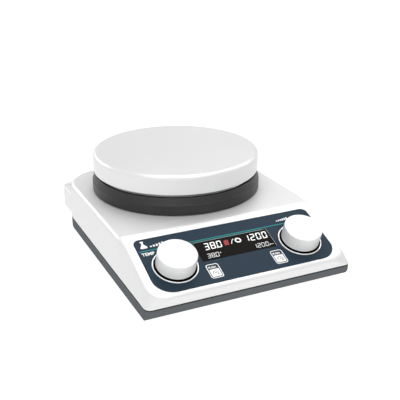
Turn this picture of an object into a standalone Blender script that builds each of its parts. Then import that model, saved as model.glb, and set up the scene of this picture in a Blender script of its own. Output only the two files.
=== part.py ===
"""Hotplate magnetic stirrer: a flat wedge-fronted housing on a tray, a round heated plate over a spinning
magnet carrier, and a sloped panel with two push-and-turn knobs. Metres, +Z up, front faces -Y."""

import math

import bmesh
import bpy
from mathutils import Matrix, Vector

for old in list(bpy.data.objects):
    bpy.data.objects.remove(old, do_unlink=True)

# ---------------------------------------------------------------- driving dimensions, in millimetres
MM = 0.001
Y_PLATE = 33.15          # plate axis, measured from the middle of the footprint
GAP = 0.3                # clearance between neighbouring pieces

FOOT_H = 3.0             # tray bottom above the floor
TRAY_H = 9.3             # tray wall
SEAM = 0.8               # shadow gap between tray and housing
Z_TRAY = FOOT_H
Z_SEAM = FOOT_H + TRAY_H
Z_TOP = 41.4             # flat top of the housing
WALL = 2.5

HALF_W = 81.0            # half width at the seam
HALF_W_TOP = 80.2        # half width at the top edge
Y_NOSE = -138.4          # front of the nose, measured from the plate axis
Y_FRONT_SEAM = -136.8    # front at the seam, the nose tucks under
Y_FRONT_BASE = -131.5    # front of the tray at its bottom
Y_REAR = 66.0
R_REAR = 35.0            # rear corners
R_FRONT = 15.0           # front corners at the nose
R_FRONT_SEAM = 5.0       # front corners at the seam and in the tray
EDGE_R = 3.2             # edge round along the top
PANEL_TAPER = 2.0        # how much each side draws in beside the panel, at the top

SLOPE = math.radians(20.06)
PANEL_Y, PANEL_Z = -85.8, 39.38      # top edge of the overlay, on the slope
OVERLAY_W, OVERLAY_L = 142.0, 52.5
OVERLAY_R_TOP, OVERLAY_R_BOTTOM = 4.5, 14.0
DISPLAY_W, DISPLAY_L, DISPLAY_V = 59.0, 18.4, 22.4
KNOB_U, KNOB_V = 50.0, 30.0
KNOB_R, KNOB_H, KNOB_LIFT, KNOB_TRAVEL = 14.1, 12.0, 0.9, 0.8

PLATE_R, PLATE_TOP, PLATE_T, PLATE_EDGE = 67.5, 72.8, 15.05, 3.4
SKIRT_R, SKIRT_RIDGE_Z = 68.6, 49.8

BOSS_X, BOSS_Y, BOSS_TOP = -79.0, 72.0, 30.0
ROD_X, ROD_Y, ROD_R = -68.5, 63.8, 5.2

SCREW_SPOTS = ((-71.0, -119.0), (71.0, -119.0), (-62.0, 44.0), (62.0, 44.0))
FOOT_SPOTS = ((-62.0, -100.0), (62.0, -100.0), (-56.0, 24.0), (56.0, 24.0))

INLET_X, SWITCH_X, FUSE_X, PROBE_X = -27.0, 3.0, 24.0, 38.5
REAR_Z = 25.5            # middle height of the rear fittings


# ---------------------------------------------------------------- materials
def material(name, colour, roughness, metallic=0.0):
    mat = bpy.data.materials.new(name)
    mat.use_nodes = True
    shader = mat.node_tree.nodes["Principled BSDF"]
    shader.inputs["Base Color"].default_value = (*colour, 1.0)
    shader.inputs["Roughness"].default_value = roughness
    shader.inputs["Metallic"].default_value = metallic
    return mat


WHITE = material("white_abs", (0.86, 0.86, 0.85), 0.35)
SLATE = material("slate_abs", (0.105, 0.125, 0.14), 0.45)
CERAMIC = material("white_ceramic_coat", (0.82, 0.82, 0.81), 0.25)
CHARCOAL = material("charcoal_polymer", (0.045, 0.045, 0.047), 0.5)
OVERLAY = material("overlay_print", (0.045, 0.075, 0.105), 0.4)
GLASS = material("display_window", (0.015, 0.013, 0.013), 0.1)
SILVER = material("silver_trim", (0.75, 0.76, 0.78), 0.25, 1.0)
STEEL = material("steel", (0.55, 0.55, 0.56), 0.3, 1.0)
BRASS = material("brass", (0.72, 0.52, 0.22), 0.3, 1.0)
ALUMINIUM = material("aluminium", (0.72, 0.73, 0.74), 0.35, 1.0)
BLACK = material("black_nylon", (0.02, 0.02, 0.02), 0.45)
BOARD = material("circuit_board", (0.02, 0.12, 0.05), 0.5)
RUBBER = material("rubber", (0.03, 0.03, 0.03), 0.8)
MICA = material("insulation", (0.6, 0.55, 0.45), 0.8)
MAGNET = material("magnet_nickel", (0.6, 0.58, 0.55), 0.25, 1.0)
COPPER = material("winding", (0.55, 0.28, 0.12), 0.4, 1.0)
CABLE = material("ribbon_grey", (0.4, 0.42, 0.45), 0.6)
FUSE_GLASS = material("fuse_tube", (0.7, 0.75, 0.75), 0.1)
RELAY_BLUE = material("relay_case", (0.03, 0.08, 0.3), 0.4)


# ---------------------------------------------------------------- helpers, all arguments in millimetres
def place(x, y, z):
    """A point given from the plate axis and the floor, in metres in the part's frame."""
    return Vector((x * MM, (y + Y_PLATE) * MM, z * MM))


def add_object(name, bm, mat, location=(0, 0, 0), rotation=(0, 0, 0), parent=None, helper=False, smooth=True):
    bmesh.ops.recalc_face_normals(bm, faces=bm.faces[:])
    mesh = bpy.data.meshes.new(name)
    bm.to_mesh(mesh)
    bm.free()
    obj = bpy.data.objects.new(name, mesh)
    bpy.context.scene.collection.objects.link(obj)
    obj.location = location
    obj.rotation_euler = rotation
    obj.parent = parent
    if mat:
        mesh.materials.append(mat)
    if smooth:
        mesh.shade_smooth()
        mesh.set_sharp_from_angle(angle=math.radians(35))
    if helper:
        obj.hide_render = True
        obj.display_type = "WIRE"
    return obj


def boolean(obj, other, operation="DIFFERENCE"):
    mod = obj.modifiers.new(operation.lower(), "BOOLEAN")
    mod.operation = operation
    mod.solver = "EXACT"
    mod.object = other
    return mod


def lathe_bm(profile, steps=40, phase=0.0):
    """Turns a closed (radius, height) profile round Z, starting at angle phase; a radius of 0 closes on the axis."""
    bm = bmesh.new()
    rows = []
    for radius, height in profile:
        if radius < 1e-6:
            rows.append([bm.verts.new((0, 0, height * MM))])
        else:
            rows.append([
                bm.verts.new((radius * MM * math.cos(phase + 2 * math.pi * i / steps),
                              radius * MM * math.sin(phase + 2 * math.pi * i / steps), height * MM))
                for i in range(steps)])
    for low, high in zip(rows, rows[1:] + rows[:1]):
        if len(low) == 1 and len(high) == 1:
            continue
        if len(low) == 1 or len(high) == 1:
            tip, edge = (low[0], high) if len(low) == 1 else (high[0], low)
            if abs(tip.co.z - edge[0].co.z) < 1e-7:
                bm.faces.new(edge)                       # a flat end is one face
            else:
                for i in range(steps):
                    bm.faces.new((tip, edge[i], edge[(i + 1) % steps]))
            continue
        for i in range(steps):
            j = (i + 1) % steps
            bm.faces.new((low[i], low[j], high[j], high[i]))
    for lone in [v for v in bm.verts if not v.link_faces]:
        bm.verts.remove(lone)
    return bm


def lathe(name, profile, mat, location=(0, 0, 0), rotation=(0, 0, 0), parent=None, steps=40, helper=False, phase=0.0):
    return add_object(name, lathe_bm(profile, steps, phase), mat, location, rotation, parent, helper)


def cylinder_cut(name, radius, low, high, location, rotation=(0, 0, 0), parent=None, steps=32):
    return lathe(name, [(0, low), (radius, low), (radius, high), (0, high)], None, location, rotation, parent, steps, True, 0.07)


def box_bm(x0, x1, y0, y1, z0, z1, bevel=0.0, segments=2):
    bm = bmesh.new()
    bmesh.ops.create_cube(bm, size=1.0)
    bmesh.ops.scale(bm, vec=((x1 - x0) * MM, (y1 - y0) * MM, (z1 - z0) * MM), verts=bm.verts)
    bmesh.ops.translate(bm, vec=((x0 + x1) / 2 * MM, (y0 + y1) / 2 * MM, (z0 + z1) / 2 * MM), verts=bm.verts)
    if bevel:
        bmesh.ops.bevel(bm, geom=bm.edges[:], offset=bevel * MM, segments=segments, affect="EDGES", profile=0.5)
    return bm


def box(name, bounds, mat, bevel=0.0, location=(0, 0, 0), rotation=(0, 0, 0), parent=None, helper=False, segments=1):
    return add_object(name, box_bm(*bounds, bevel, segments), mat, location, rotation, parent, helper)


def rounded_rect(half_w, y0, y1, r_low, r_high, steps=6):
    """Outline of a rectangle from y0 to y1, anticlockwise, with corner radii at y0 and y1."""
    points = []
    for cx, cy, r, start in ((half_w - r_low, y0 + r_low, r_low, -90), (half_w - r_high, y1 - r_high, r_high, 0),
                             (-half_w + r_high, y1 - r_high, r_high, 90), (-half_w + r_low, y0 + r_low, r_low, 180)):
        for i in range(steps + 1):
            a = math.radians(start + 90 * i / steps)
            points.append((cx + r * math.cos(a), cy + r * math.sin(a)))
    return points


def prism_bm(points, z0, z1):
    bm = bmesh.new()
    low = [bm.verts.new((x * MM, y * MM, z0 * MM)) for x, y in points]
    high = [bm.verts.new((x * MM, y * MM, z1 * MM)) for x, y in points]
    n = len(points)
    for i in range(n):
        j = (i + 1) % n
        bm.faces.new((low[i], low[j], high[j], high[i]))
    bm.faces.new(low[::-1])
    bm.faces.new(high)
    return bm


# ---------------------------------------------------------------- the housing's and the tray's shape
SIDE_ROWS = (-110.0, -96.0, -84.2, -82.4, -80.6, -78.8, -77.0, -40.0, 0.0)
TANGENT = 3.9            # half length of the soft bend between top and slope


def top_height(y):
    """Height of the housing's upper surface at depth y: flat, then the panel slope, with a soft bend."""
    y_break = PANEL_Y + (Z_TOP - PANEL_Z) / math.tan(SLOPE)
    if y >= y_break + TANGENT:
        return Z_TOP
    if y <= y_break - TANGENT:
        return PANEL_Z + (y - PANEL_Y) * math.tan(SLOPE)
    t = (y_break + TANGENT - y) / (2 * TANGENT)
    return Z_TOP - math.tan(SLOPE) * TANGENT * t * t


def plan(half_w, y_front, y_rear, r_front, r_rear, front_steps=5, rear_steps=9):
    """Right half of a plan outline, from the front edge round to the rear edge."""
    points = []
    for i in range(front_steps + 1):
        a = math.radians(-90 + 90 * i / front_steps)
        points.append((half_w - r_front + r_front * math.cos(a), y_front + r_front + r_front * math.sin(a)))
    points += [(half_w, y) for y in SIDE_ROWS]
    for i in range(rear_steps + 1):
        a = math.radians(90 * i / rear_steps)
        points.append((half_w - r_rear + r_rear * math.cos(a), y_rear - r_rear + r_rear * math.sin(a)))
    return points


def drawn_in(outline):
    """The outline with its sides drawn in beside the panel."""
    points = []
    for x, y in outline:
        t = min(1.0, max(0.0, (-78.0 - y) / 14.0))
        points.append((x - PANEL_TAPER * t * t * (3 - 2 * t), y))
    return points


def ring(bm, outline, height):
    """Both halves of an outline as two rows of vertices; height is a number or a function of y."""
    level = height if callable(height) else lambda y: height
    right = [bm.verts.new(place(x, y, level(y))) for x, y in outline]
    left = [bm.verts.new(place(-x, y, level(y))) for x, y in outline]
    return right, left


def join_rings(bm, upper, lower):
    for side in (0, 1):
        a, b = upper[side], lower[side]
        for i in range(len(a) - 1):
            bm.faces.new((a[i], a[i + 1], b[i + 1], b[i]))
    for k in (0, -1):
        bm.faces.new((upper[0][k], upper[1][k], lower[1][k], lower[0][k]))


def cap_ring(bm, rows):
    right, left = rows
    for i in range(len(right) - 1):
        bm.faces.new((right[i], right[i + 1], left[i + 1], left[i]))


def housing_bm():
    bm = bmesh.new()
    rings = []
    for angle in (90, 60, 30, 0):          # edge round, from the top surface to the wall
        d = EDGE_R * (1 - math.cos(math.radians(angle)))
        h = EDGE_R * (1 - math.sin(math.radians(angle)))
        outline = drawn_in(plan(HALF_W_TOP - d, Y_NOSE + d, Y_REAR - 0.8 - d, R_FRONT + 0.9 * d, R_REAR - d))
        rings.append(ring(bm, outline, lambda y, h=h: top_height(y) - h))
    outline = plan(HALF_W, Y_FRONT_SEAM, Y_REAR, R_FRONT_SEAM, R_REAR)
    rings.append(ring(bm, outline, Z_SEAM))
    inner = plan(HALF_W - WALL, Y_FRONT_SEAM + WALL, Y_REAR - WALL, R_FRONT_SEAM - 1.5, R_REAR - WALL)
    rings.append(ring(bm, inner, Z_SEAM))
    inner = drawn_in(plan(HALF_W_TOP - WALL - 0.3, Y_NOSE + WALL + 1.0, Y_REAR - 0.8 - WALL - 0.3, R_FRONT, R_REAR - WALL))
    rings.append(ring(bm, inner, lambda y: top_height(y) - WALL * 1.08))
    for a, b in zip(rings, rings[1:]):
        join_rings(bm, a, b)
    cap_ring(bm, rings[0])
    cap_ring(bm, rings[-1])
    return bm


def tray_bm():
    bm = bmesh.new()
    top = Z_SEAM - SEAM
    floor = Z_TRAY + WALL
    rings = [
        ring(bm, plan(HALF_W - 0.8, Y_FRONT_SEAM + 0.8, Y_REAR - 0.8, R_FRONT_SEAM - 0.8, R_REAR - 0.8), Z_TRAY),
        ring(bm, plan(HALF_W, Y_FRONT_SEAM, Y_REAR, R_FRONT_SEAM, R_REAR), Z_TRAY + 0.8),
        ring(bm, plan(HALF_W, Y_FRONT_SEAM, Y_REAR, R_FRONT_SEAM, R_REAR), top),
        ring(bm, plan(HALF_W - WALL, Y_FRONT_SEAM + WALL, Y_REAR - WALL, R_FRONT_SEAM - 1.5, R_REAR - WALL), top),
        ring(bm, plan(HALF_W - WALL, Y_FRONT_BASE + WALL, Y_REAR - WALL, R_FRONT_SEAM - 1.5, R_REAR - WALL), floor),
    ]
    for a, b in zip(rings, rings[1:]):
        join_rings(bm, a, b)
    cap_ring(bm, rings[0])
    cap_ring(bm, rings[-1])
    return bm


housing = add_object("upper_housing", housing_bm(), WHITE)
tray = add_object("base_tray", tray_bm(), SLATE)

# the tray's front is one plane that leans back towards the floor
lean = (Y_FRONT_SEAM - Y_FRONT_BASE) / (Z_SEAM - SEAM - 0.3 - Z_TRAY)
wedge = bmesh.new()
low_y, high_y = Y_FRONT_BASE + lean * (-3.0 - Z_TRAY), Y_FRONT_BASE + lean * (16.0 - Z_TRAY)
ends = [[wedge.verts.new(place(x, y, z)) for y, z in ((-170, -3), (low_y, -3), (high_y, 16), (-170, 16))] for x in (-100, 100)]
for i in range(4):
    wedge.faces.new((ends[0][i], ends[0][(i + 1) % 4], ends[1][(i + 1) % 4], ends[1][i]))
wedge.faces.new(ends[0][::-1])
wedge.faces.new(ends[1])
boolean(tray, add_object("tray_front_cut", wedge, None, helper=True, smooth=False))

# rear left boss for the stand rod: a block outside the rounded corner, its root cut to the corner's wall
boss_points = []
for cx, cy, r, start in ((BOSS_X + 8, BOSS_Y - 8, 8.0, 90), (BOSS_X + 3, 43.0, 3.0, 180), (-60.0, 43.0, 3.0, 270),
                         (-62.0, BOSS_Y - 5, 5.0, 0)):
    for i in range(6):
        a = math.radians(start + 90 * i / 5)
        boss_points.append((cx + r * math.cos(a), cy + r * math.sin(a)))
boss_bm = prism_bm(boss_points, Z_SEAM, BOSS_TOP)
boss = add_object("boss_block", boss_bm, WHITE, (0, Y_PLATE * MM, 0), helper=True)
boolean(boss, cylinder_cut("boss_root_cut", R_REAR - 1.3, 5, 60, place(HALF_W_TOP * -1 + R_REAR, Y_REAR - R_REAR - 0.4, 0), steps=48))
boolean(boss, box("boss_inner_cut", (-79.2, 0, -60, 31, 5, 60), None, location=(0, Y_PLATE * MM, 0), helper=True))
boolean(boss, box("boss_side_cut", (-46, 0, -60, 64.6, 5, 60), None, location=(0, Y_PLATE * MM, 0), helper=True))
boolean(housing, boss, "UNION")
boolean(housing, cylinder_cut("rod_bore", ROD_R, Z_SEAM + 2.0, 60, place(ROD_X, ROD_Y, 0)))

# screw posts inside the housing, and pillars in the tray below them
for n, (x, y) in enumerate(SCREW_SPOTS, 1):
    roof = top_height(y) - 2.0
    post = lathe(f"post_{n}", [(0, Z_SEAM + 0.6), (4.0, Z_SEAM + 0.6), (4.0, roof), (0, roof)], None, place(x, y, 0), steps=12, helper=True)
    boolean(housing, post, "UNION")
    boolean(housing, cylinder_cut(f"post_bore_{n}", 1.7, Z_SEAM, top_height(y) - 5.0, place(x, y, 0), steps=10))
    pillar = lathe(f"pillar_{n}", [(0, Z_TRAY + 1), (5.0, Z_TRAY + 1), (5.0, Z_SEAM + 0.2), (0, Z_SEAM + 0.2)], None, place(x, y, 0), steps=12, helper=True)
    boolean(tray, pillar, "UNION")
    boolean(tray, cylinder_cut(f"pillar_bore_{n}", 1.7, 0, 20, place(x, y, 0), steps=10))
    boolean(tray, cylinder_cut(f"counterbore_{n}", 3.3, 0, Z_TRAY + 5.5, place(x, y, 0), steps=14))
    lathe(f"housing_screw_{n}", [(0, Z_TRAY + 2.9), (2.6, Z_TRAY + 2.9), (2.9, Z_TRAY + 3.2), (2.9, Z_TRAY + 5.2),
                                 (1.4, Z_TRAY + 5.2), (1.4, top_height(y) - 5.8), (0, top_height(y) - 5.2)], STEEL, place(x, y, 0), steps=12)

for n, (x, y) in enumerate(FOOT_SPOTS, 1):
    boolean(tray, cylinder_cut(f"foot_hole_{n}", 2.5, 0, 10, place(x, y, 0), steps=10))
    lathe(f"foot_{n}", [(0, 0), (7.2, 0), (8.0, 0.8), (8.0, FOOT_H - GAP), (2.2, FOOT_H - GAP), (2.2, Z_TRAY + 2.2), (0, Z_TRAY + 2.2)],
          RUBBER, place(x, y, 0), steps=18)

# ---------------------------------------------------------------- plate, heater and skirt
axis = place(0, 0, 0)
plate_low = PLATE_TOP - PLATE_T
profile = [(0, PLATE_TOP)]
for i in range(5):
    a = math.radians(90 - 90 * i / 4)
    profile.append((PLATE_R - PLATE_EDGE * (1 - math.cos(a)), PLATE_TOP - PLATE_EDGE * (1 - math.sin(a))))
profile += [(PLATE_R, plate_low + 0.8), (PLATE_R - 0.8, plate_low), (52.0, plate_low), (52.0, plate_low + 8.0), (0, plate_low + 8.0)]
lathe("hotplate", profile[::-1], CERAMIC, axis, steps=52)
lathe("heating_element", [(8, 62.3), (50, 62.3), (51, 63), (51, 64.7), (50, 65.4), (8, 65.4)], STEEL, axis, steps=32)
lathe("insulation_disc", [(8, 57.9), (51, 57.9), (51, 62.0), (8, 62.0)], MICA, axis, steps=32)
shield = lathe("heat_shield", [(4, 54.6), (60.5, 54.6), (61.5, 53.6), (62.0, 53.9), (60.9, 55.4), (4, 55.4)], ALUMINIUM, axis, steps=32)
lathe("plate_sensor", [(0, 56.2), (2.2, 56.2), (3.0, 57.0), (3.0, 64.6), (2.2, 65.4), (0, 65.4)], STEEL, axis, steps=14)
lathe("skirt_ring", [(63.0, Z_TOP + GAP), (SKIRT_R - 0.6, Z_TOP + GAP), (SKIRT_R, Z_TOP + 0.9), (SKIRT_R, SKIRT_RIDGE_Z - 0.5),
                     (SKIRT_R - 0.5, SKIRT_RIDGE_Z), (66.7, 55.2), (66.1, 55.8), (64.6, 55.8), (64.0, 55.2), (63.0, 52.0)], CHARCOAL, axis, steps=48)
for n in range(3):
    a = math.radians(93 + 120 * n)
    spot = place(56.5 * math.cos(a), 56.5 * math.sin(a), 0)
    boolean(shield, cylinder_cut(f"shield_hole_{n}", 3.4, 40, 70, spot, steps=14))
    lathe(f"plate_post_{n + 1}", [(0, Z_TOP + GAP), (4.5, Z_TOP + GAP), (4.5, 53.0), (3.0, 53.6), (3.0, plate_low - GAP), (0, plate_low - GAP)],
          STEEL, spot, steps=14)

# ---------------------------------------------------------------- drive: motor below, magnets above the housing's top
boolean(housing, cylinder_cut("shaft_opening", 12.0, 30, 60, axis, steps=32))
lathe("motor_base", [(5, 5.8), (38, 5.8), (38, 7.8), (5, 7.8)], STEEL, axis, steps=28)
base = bpy.data.objects["motor_base"]
lathe("motor_can", [(0, 8.1), (29, 8.1), (30, 9.1), (30, 32.5), (28.5, 34.0), (9, 34.0), (9, 37.0), (3.4, 37.0), (3.4, 14.0), (0, 14.0)],
      ALUMINIUM, axis, steps=32)
for n, x in enumerate((-34.2, 34.2), 1):
    boolean(base, cylinder_cut(f"base_hole_{n}", 1.8, 0, 20, place(x, 0, 0), steps=10))
    boolean(tray, cylinder_cut(f"tray_motor_hole_{n}", 1.8, 0, 20, place(x, 0, 0), steps=10))
    lathe(f"motor_screw_{n}", [(0, 3.5), (1.4, 3.5), (1.4, 8.1), (2.8, 8.1), (2.8, 9.4), (2.2, 10.0), (0, 10.0)], STEEL, place(x, 0, 0), steps=12)
lathe("motor_shaft", [(0, 14.6), (3.0, 14.6), (3.0, 49.0), (0, 49.0)], STEEL, axis, steps=16)
carrier_bm = prism_bm(rounded_rect(38.0, -11.0, 11.0, 10.0, 10.0, 5), 44.0, 51.0)
carrier = add_object("magnet_carrier", carrier_bm, BLACK, axis)
boolean(carrier, cylinder_cut("carrier_bore", 3.3, 40, 49.3, axis, steps=24))
for side, x in (("left", -26.0), ("right", 26.0)):
    boolean(carrier, cylinder_cut(f"magnet_pocket_{side}", 8.3, 46.2, 60, place(x, 0, 0), steps=20))
    lathe(f"magnet_{side}", [(0, 46.5), (8.0, 46.5), (8.0, 51.8), (7.4, 52.4), (0, 52.4)], MAGNET, place(x, 0, 0), steps=20)

# ---------------------------------------------------------------- the sloped panel; local x to the right, y up the slope, z out
panel = bpy.data.objects.new("panel_frame", None)
bpy.context.scene.collection.objects.link(panel)
panel.location = place(0, PANEL_Y, PANEL_Z)
panel.rotation_euler = (SLOPE, 0, 0)


def on_panel(u, v, h=0.0):
    return (u * MM, -v * MM, h * MM)


overlay_outline = rounded_rect(OVERLAY_W / 2, -OVERLAY_L, 0, OVERLAY_R_BOTTOM, OVERLAY_R_TOP, 6)
pocket_outline = rounded_rect(OVERLAY_W / 2 + GAP, -OVERLAY_L - GAP, GAP, OVERLAY_R_BOTTOM + GAP, OVERLAY_R_TOP + GAP, 6)
boolean(housing, add_object("overlay_pocket", prism_bm(pocket_outline, -1.0, 12), None, parent=panel, helper=True))
overlay = add_object("panel_overlay", prism_bm(overlay_outline, -0.65, -0.05), OVERLAY, parent=panel)
dw, dl = DISPLAY_W / 2, DISPLAY_L / 2
window_cut = add_object("window_cut", prism_bm(rounded_rect(dw + GAP, -dl - GAP, dl + GAP, 0.9, 0.9, 2), -6, 6), None,
                        on_panel(0, DISPLAY_V), parent=panel, helper=True)
boolean(housing, window_cut)
boolean(overlay, window_cut)
add_object("display_window", prism_bm(rounded_rect(dw, -dl, dl, 0.6, 0.6, 2), -1.9, -0.1), GLASS, on_panel(0, DISPLAY_V), parent=panel)
box("lcd_module", (-32, 32, -11.5, 11.5, -7.9, -3.1), BLACK, 0.4, on_panel(0, DISPLAY_V), parent=panel)
box("control_board", (-63, 63, -46, -4, -9.9, -8.3), BOARD, 0, parent=panel)
for side, u in (("temp", -KNOB_U), ("speed", KNOB_U)):
    spot = on_panel(u, KNOB_V)
    boolean(housing, cylinder_cut(f"{side}_shaft_hole", 4.9, -6, 6, spot, parent=panel, steps=24))
    boolean(overlay, cylinder_cut(f"{side}_overlay_hole", 16.5, -6, 6, spot, parent=panel, steps=36))
    lathe(f"{side}_knob_ring", [(4.9, -0.7), (16.2, -0.7), (16.2, 0.2), (16.0, 0.4), (15.2, 0.4), (15.0, 0.2), (14.9, -0.2), (4.9, -0.2)],
          SILVER, spot, parent=panel, steps=32)
    z0, z1 = KNOB_LIFT, KNOB_H
    lathe(f"{side}_knob", [(0, z1), (KNOB_R - 0.9, z1), (KNOB_R - 0.3, z1 - 0.3), (KNOB_R, z1 - 0.9), (KNOB_R, z0 + 0.3), (KNOB_R - 0.3, z0),
                           (12.0, z0), (12.0, z1 - 2.5), (5.5, z1 - 2.5), (5.5, z0 + 0.8), (2.9, z0 + 0.8), (2.9, z1 - 3.0), (0, z1 - 3.0)][::-1],
          WHITE, spot, parent=panel, steps=36)
    box(f"{side}_encoder_body", (-6.5, 6.5, -6.5, 6.5, -8.0, -3.2), BLACK, 0, spot, parent=panel)
    body = bpy.data.objects[f"{side}_encoder_body"]
    boolean(body, lathe(f"{side}_bushing", [(0, -5), (4.5, -5), (4.5, 0.5), (0, 0.5)], None, spot, parent=panel, steps=24, helper=True), "UNION")
    boolean(body, cylinder_cut(f"{side}_bushing_bore", 3.9, -7.6, 6, spot, parent=panel, steps=24))
    lathe(f"{side}_encoder_collar", [(2.9, -7.3), (3.6, -7.3), (3.6, 0.3), (2.9, 0.3)], BRASS, spot, parent=panel, steps=14)
    lathe(f"{side}_encoder_shaft", [(0, -6.6), (2.6, -6.6), (2.6, z1 - 3.4), (0, z1 - 3.4)], STEEL, spot, parent=panel, steps=14)

# ---------------------------------------------------------------- power side, on the right half of the tray
box("power_board", (40, 75, -60, 20, 9.5, 11.1), BOARD)
bpy.data.objects["power_board"].location = (0, Y_PLATE * MM, 0)
for n, (x, y) in enumerate(((43.5, -56.5), (71.5, -56.5), (43.5, 16.5), (71.5, 16.5)), 1):
    boolean(tray, lathe(f"board_rest_{n}", [(0, 4.5), (2.5, 4.5), (2.5, 9.2), (0, 9.2)], None, place(x, y, 0), steps=12, helper=True), "UNION")
box("transformer", (43, 73, -54, -22, 11.4, 34.0), COPPER, 1.2, (0, Y_PLATE * MM, 0))
lathe("capacitor", [(0, 11.4), (8.0, 11.4), (8.0, 31.5), (7.2, 32.5), (0, 32.5)], BLACK, place(50, -11, 0), steps=24)
box("relay", (43.5, 58.5, 0, 15, 11.4, 27), RELAY_BLUE, 0.5, (0, Y_PLATE * MM, 0))
sink = box("heat_sink", (62, 73, -18, 14, 11.4, 33), ALUMINIUM, 0, (0, Y_PLATE * MM, 0))
for n in range(6):
    y = -15.2 + 5.0 * n
    boolean(sink, box(f"fin_gap_{n}", (64.5, 80, y, y + 2.6, 10, 40), None, location=(0, Y_PLATE * MM, 0), helper=True))

# ribbon cable from the control board down and back to the power board
def strip_bm(path, x0, x1, thickness):
    """A flat strip of constant thickness along a path in the (y, z) plane."""
    bm = bmesh.new()
    rows = []
    for i, (y, z) in enumerate(path):
        ahead = path[min(i + 1, len(path) - 1)]
        back = path[max(i - 1, 0)]
        d = Vector((ahead[0] - back[0], ahead[1] - back[1])).normalized()
        ny, nz = -d.y * thickness / 2, d.x * thickness / 2
        rows.append([bm.verts.new(place(x, y + s * ny, z + s * nz)) for x, s in ((x0, -1), (x1, -1), (x1, 1), (x0, 1))])
    for a, b in zip(rows, rows[1:]):
        for i in range(4):
            bm.faces.new((a[i], a[(i + 1) % 4], b[(i + 1) % 4], b[i]))
    bm.faces.new(rows[0])
    bm.faces.new(rows[-1][::-1])
    return bm


path = []
for i in range(13):
    t = i / 12
    path.append((-100 + 41.0 * t, 20.5 - 7.6 * (3 * t * t - 2 * t ** 3) - 3.0 * math.sin(math.pi * t)))
add_object("panel_ribbon", strip_bm(path, 61.5, 73.0, 1.0), CABLE)

# ---------------------------------------------------------------- rear fittings, local z pointing out of the rear wall
rear = bpy.data.objects.new("rear_frame", None)
bpy.context.scene.collection.objects.link(rear)
rear.location = place(0, Y_REAR, REAR_Z)
rear.rotation_euler = (math.radians(-90), 0, 0)       # local x right seen from the front, local y down, local z to the rear


def rear_spot(x):
    return (x * MM, 0, 0)


inlet = add_object("mains_inlet", prism_bm(rounded_rect(15.5, -12, 12, 2, 2, 3), 0.35, 2.6), BLACK, rear_spot(INLET_X), parent=rear)
boolean(inlet, add_object("inlet_body", prism_bm(rounded_rect(13.6, -9.8, 9.8, 3, 1, 3), -20, 1.5), None, rear_spot(INLET_X), parent=rear, helper=True), "UNION")
boolean(inlet, add_object("inlet_socket", prism_bm(rounded_rect(12.0, -8.2, 8.2, 4.5, 1, 3), -16, 8), None, rear_spot(INLET_X), parent=rear, helper=True))
boolean(housing, add_object("inlet_hole", prism_bm(rounded_rect(13.9, -10.1, 10.1, 3, 1, 3), -10, 8), None, rear_spot(INLET_X), parent=rear, helper=True))
for name, x, y in (("earth", 0.0, -4.0), ("line", -7.0, 0.0), ("neutral", 7.0, 0.0)):
    boolean(inlet, box(f"pin_slot_{name}", (x - 1.3, x + 1.3, y - 2.3, y + 2.3, -30, -10), None, 0, rear_spot(INLET_X), parent=rear, helper=True))
    box(f"inlet_pin_{name}", (x - 1.0, x + 1.0, y - 2.0, y + 2.0, -23.0, -3.5), BRASS, 0.3, rear_spot(INLET_X), parent=rear)

switch = add_object("power_switch_body", prism_bm(rounded_rect(10.5, -7.5, 7.5, 1, 1, 2), 0.35, 2.0), BLACK, rear_spot(SWITCH_X), parent=rear)
boolean(switch, box("switch_core", (-9.4, 9.4, -6.4, 6.4, -14, 1), None, 0, rear_spot(SWITCH_X), parent=rear, helper=True), "UNION")
boolean(switch, box("switch_well", (-8.3, 8.3, -5.3, 5.3, -6.5, 8), None, 0, rear_spot(SWITCH_X), parent=rear, helper=True))
boolean(housing, box("switch_hole", (-9.7, 9.7, -6.7, 6.7, -10, 8), None, 0, rear_spot(SWITCH_X), parent=rear, helper=True))
rocker_bm = bmesh.new()
rocker_points = [(-7.6, 3.6), (-6.8, 4.2), (0, 2.2), (6.8, 2.9), (7.6, 2.2), (6.6, -2.6), (3.0, -4.6), (-3.0, -4.6), (-6.6, -2.6)]
low = [rocker_bm.verts.new((x * MM, -4.9 * MM, (z - 1.0) * MM)) for x, z in rocker_points]
high = [rocker_bm.verts.new((x * MM, 4.9 * MM, (z - 1.0) * MM)) for x, z in rocker_points]
for i in range(len(low)):
    j = (i + 1) % len(low)
    rocker_bm.faces.new((low[i], low[j], high[j], high[i]))
rocker_bm.faces.new(low[::-1])
rocker_bm.faces.new(high)
add_object("power_rocker", rocker_bm, BLACK, (SWITCH_X * MM, 0, 0), parent=rear)

lathe("fuse_holder", [(7.2, 0.35), (7.2, 1.6), (6.8, 2.0), (4.9, 2.0), (4.9, -24), (0, -24), (0, -25.5), (6.0, -25.5), (6.0, 0.35)],
      BLACK, rear_spot(FUSE_X), parent=rear, steps=20)
boolean(housing, cylinder_cut("fuse_hole", 6.3, -10, 8, rear_spot(FUSE_X), parent=rear, steps=20))
cap = lathe("fuse_cap", [(0, -2.2), (4.3, -2.2), (4.5, -2.0), (4.5, 2.3), (6.2, 2.3), (6.2, 4.8), (5.6, 5.4), (0, 5.4)], BLACK, rear_spot(FUSE_X), parent=rear, steps=20)
boolean(cap, box("cap_slot", (-3.6, 3.6, -0.6, 0.6, 4.2, 9), None, 0, rear_spot(FUSE_X), parent=rear, helper=True))
lathe("fuse", [(0, -22.6), (2.6, -22.6), (2.6, -17.4), (2.35, -17.4), (2.35, -7.8), (2.6, -7.8), (2.6, -2.6), (0, -2.6)], FUSE_GLASS, rear_spot(FUSE_X), parent=rear, steps=14)

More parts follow.
